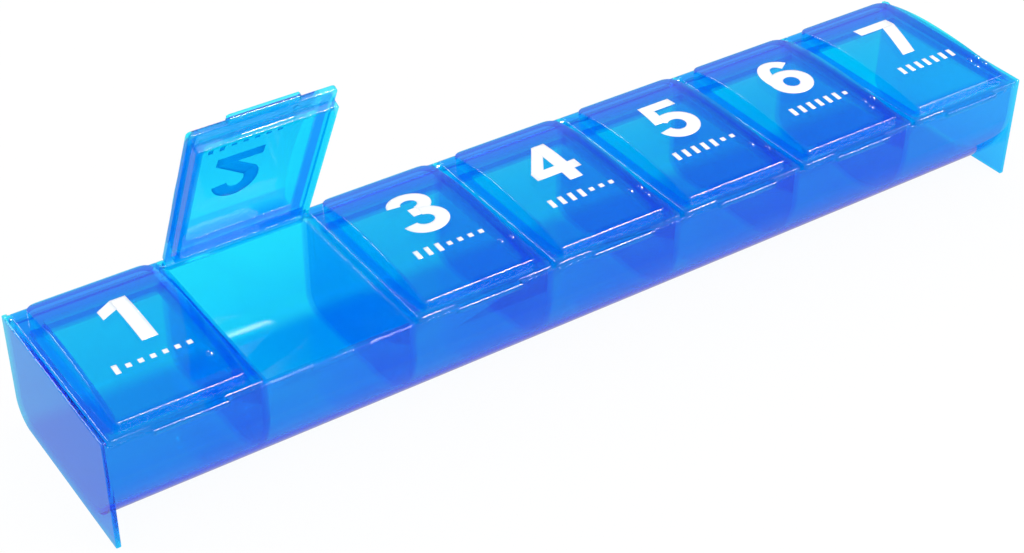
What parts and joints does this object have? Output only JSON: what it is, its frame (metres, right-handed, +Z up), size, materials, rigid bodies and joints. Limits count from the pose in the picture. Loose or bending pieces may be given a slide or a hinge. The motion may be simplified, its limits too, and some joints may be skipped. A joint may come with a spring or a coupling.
{
  "type": "weekly pill organizer",
  "caption": "Row of day compartments in clear blue plastic, each with a scooped front and a crowned, hinged snap lid with a thumb tab and number bumps.",
  "frame": {"origin": "centre of the tray's flat underside", "axes": "+X along the row of compartments, -Y towards the thumb tabs, +Z up"},
  "size_m": [0.2114, 0.0444, 0.0615],
  "materials": {
    "clear_blue": "clear moulded plastic, glossy"
  },
  "bodies": {
    "tray": {"tray": "clear_blue"},
    "lid_sunday": {"lid_sunday": "clear_blue"},
    "lid_monday": {"lid_monday": "clear_blue"},
    "lid_tuesday": {"lid_tuesday": "clear_blue"},
    "lid_wednesday": {"lid_wednesday": "clear_blue"},
    "lid_thursday": {"lid_thursday": "clear_blue"},
    "lid_friday": {"lid_friday": "clear_blue"},
    "lid_saturday": {"lid_saturday": "clear_blue"}
  },
  "joints": [
    {"name": "hinge_sunday", "type": "hinge", "parent": "tray", "child": "lid_sunday", "pos_m": [-0.09, 0.0197, 0.0226], "axis": [-1, 0, 0], "range_deg": [0, 155]},
    {"name": "hinge_monday", "type": "hinge", "parent": "tray", "child": "lid_monday", "pos_m": [-0.06, 0.0197, 0.0226], "axis": [-1, 0, 0], "range_deg": [-65, 90]},
    {"name": "hinge_tuesday", "type": "hinge", "parent": "tray", "child": "lid_tuesday", "pos_m": [-0.03, 0.0197, 0.0226], "axis": [-1, 0, 0], "range_deg": [0, 155]},
    {"name": "hinge_wednesday", "type": "hinge", "parent": "tray", "child": "lid_wednesday", "pos_m": [0, 0.0197, 0.0226], "axis": [-1, 0, 0], "range_deg": [0, 155]},
    {"name": "hinge_thursday", "type": "hinge", "parent": "tray", "child": "lid_thursday", "pos_m": [0.03, 0.0197, 0.0226], "axis": [-1, 0, 0], "range_deg": [0, 155]},
    {"name": "hinge_friday", "type": "hinge", "parent": "tray", "child": "lid_friday", "pos_m": [0.06, 0.0197, 0.0226], "axis": [-1, 0, 0], "range_deg": [0, 155]},
    {"name": "hinge_saturday", "type": "hinge", "parent": "tray", "child": "lid_saturday", "pos_m": [0.09, 0.0197, 0.0226], "axis": [-1, 0, 0], "range_deg": [0, 155]}
  ]
}
